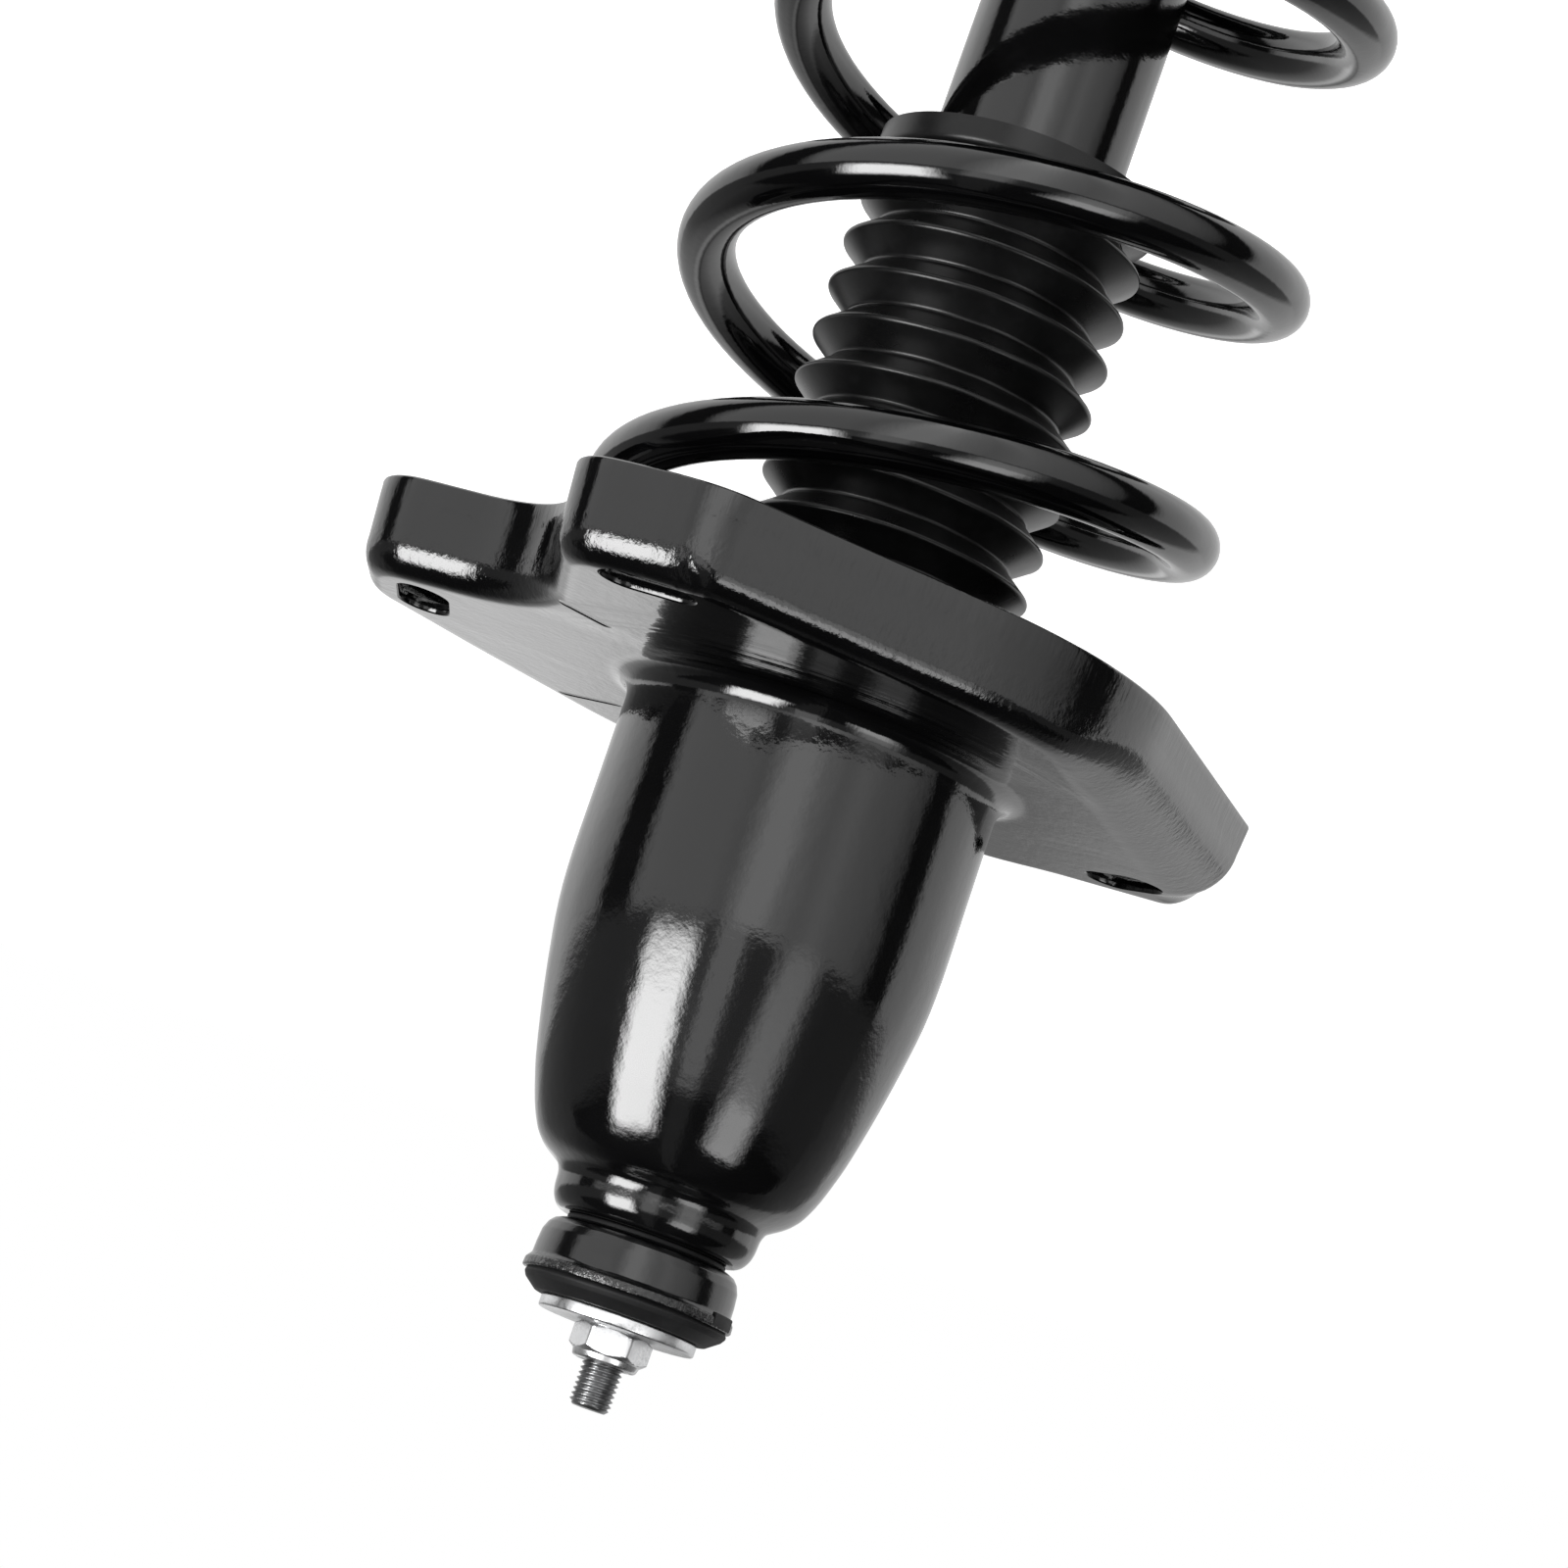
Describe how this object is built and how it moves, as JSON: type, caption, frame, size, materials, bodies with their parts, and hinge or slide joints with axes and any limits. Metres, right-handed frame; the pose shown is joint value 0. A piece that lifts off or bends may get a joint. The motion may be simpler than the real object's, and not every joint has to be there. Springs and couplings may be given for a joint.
{
  "type": "strut assembly",
  "caption": "Rear coil-over strut with a bell-shaped rubber-bushed top mount on a lobed slotted tray flange, coil spring, bellows boot, damper tube and a bushed lower eye.",
  "frame": {"origin": "centre of the lower eye's bolt bore", "axes": "+Z along the strut from the lower eye to the threaded rod end, +X along the lower eye's bolt"},
  "size_m": [0.2265, 0.2017, 0.612],
  "materials": {
    "black_paint": "gloss black coating with a light orange peel",
    "spring_coat": "gloss black powder coat",
    "zinc_plate": "bright zinc plate",
    "bare_steel": "machined steel",
    "hard_chrome": "ground hard chrome, threaded end plain steel",
    "sintered_iron": "sintered iron, matt",
    "ptfe": "filled PTFE",
    "urethane": "microcellular foam, matt",
    "boot_plastic": "satin black blow-moulded elastomer",
    "bush_rubber": "matt black moulded rubber"
  },
  "bodies": {
    "top_mount": {"mount_housing": "black_paint", "bushing_cup": "black_paint", "upper_bush_rubber": "bush_rubber", "lower_bush_rubber": "bush_rubber", "bush_inner_sleeve": "bare_steel", "top_washer": "zinc_plate", "lower_washer": "zinc_plate", "top_nut": "zinc_plate", "piston_rod": "hard_chrome", "rebound_stop": "bare_steel", "rebound_cushion": "bush_rubber", "check_valve_plate": "bare_steel", "piston": "sintered_iron", "piston_band": "ptfe", "rebound_valve_discs": "bare_steel", "piston_nut": "zinc_plate", "bump_stop": "urethane", "dust_boot": "boot_plastic", "boot_collar": "boot_plastic", "upper_spring_insulator": "bush_rubber", "coil_spring": "spring_coat"},
    "damper_body": {"outer_tube": "black_paint", "tube_cap": "zinc_plate", "rod_seal": "bush_rubber", "rod_guide": "sintered_iron", "guide_bush": "ptfe", "pressure_tube": "bare_steel", "base_valve": "sintered_iron", "tube_bottom_cap": "black_paint", "seat_collar": "black_paint", "lower_spring_seat": "black_paint", "lower_spring_insulator": "bush_rubber", "eye_ring": "black_paint", "eye_outer_sleeve": "bare_steel", "eye_rubber": "bush_rubber"},
    "eye_sleeve": {"eye_inner_sleeve": "zinc_plate"}
  },
  "joints": [
    {"name": "damper_stroke", "type": "slide", "parent": "top_mount", "child": "damper_body", "axis": [0, 0, 1], "range_m": [0, 0.14], "stiffness_N_per_m": 42000, "springref_m": -0.03, "deforming": ["coil_spring"]},
    {"name": "lower_bush_twist", "type": "hinge", "parent": "damper_body", "child": "eye_sleeve", "pos_m": [0, 0, 0], "axis": [1, 0, 0], "range_deg": [-20, 20], "stiffness_Nm_per_rad": 40}
  ]
}
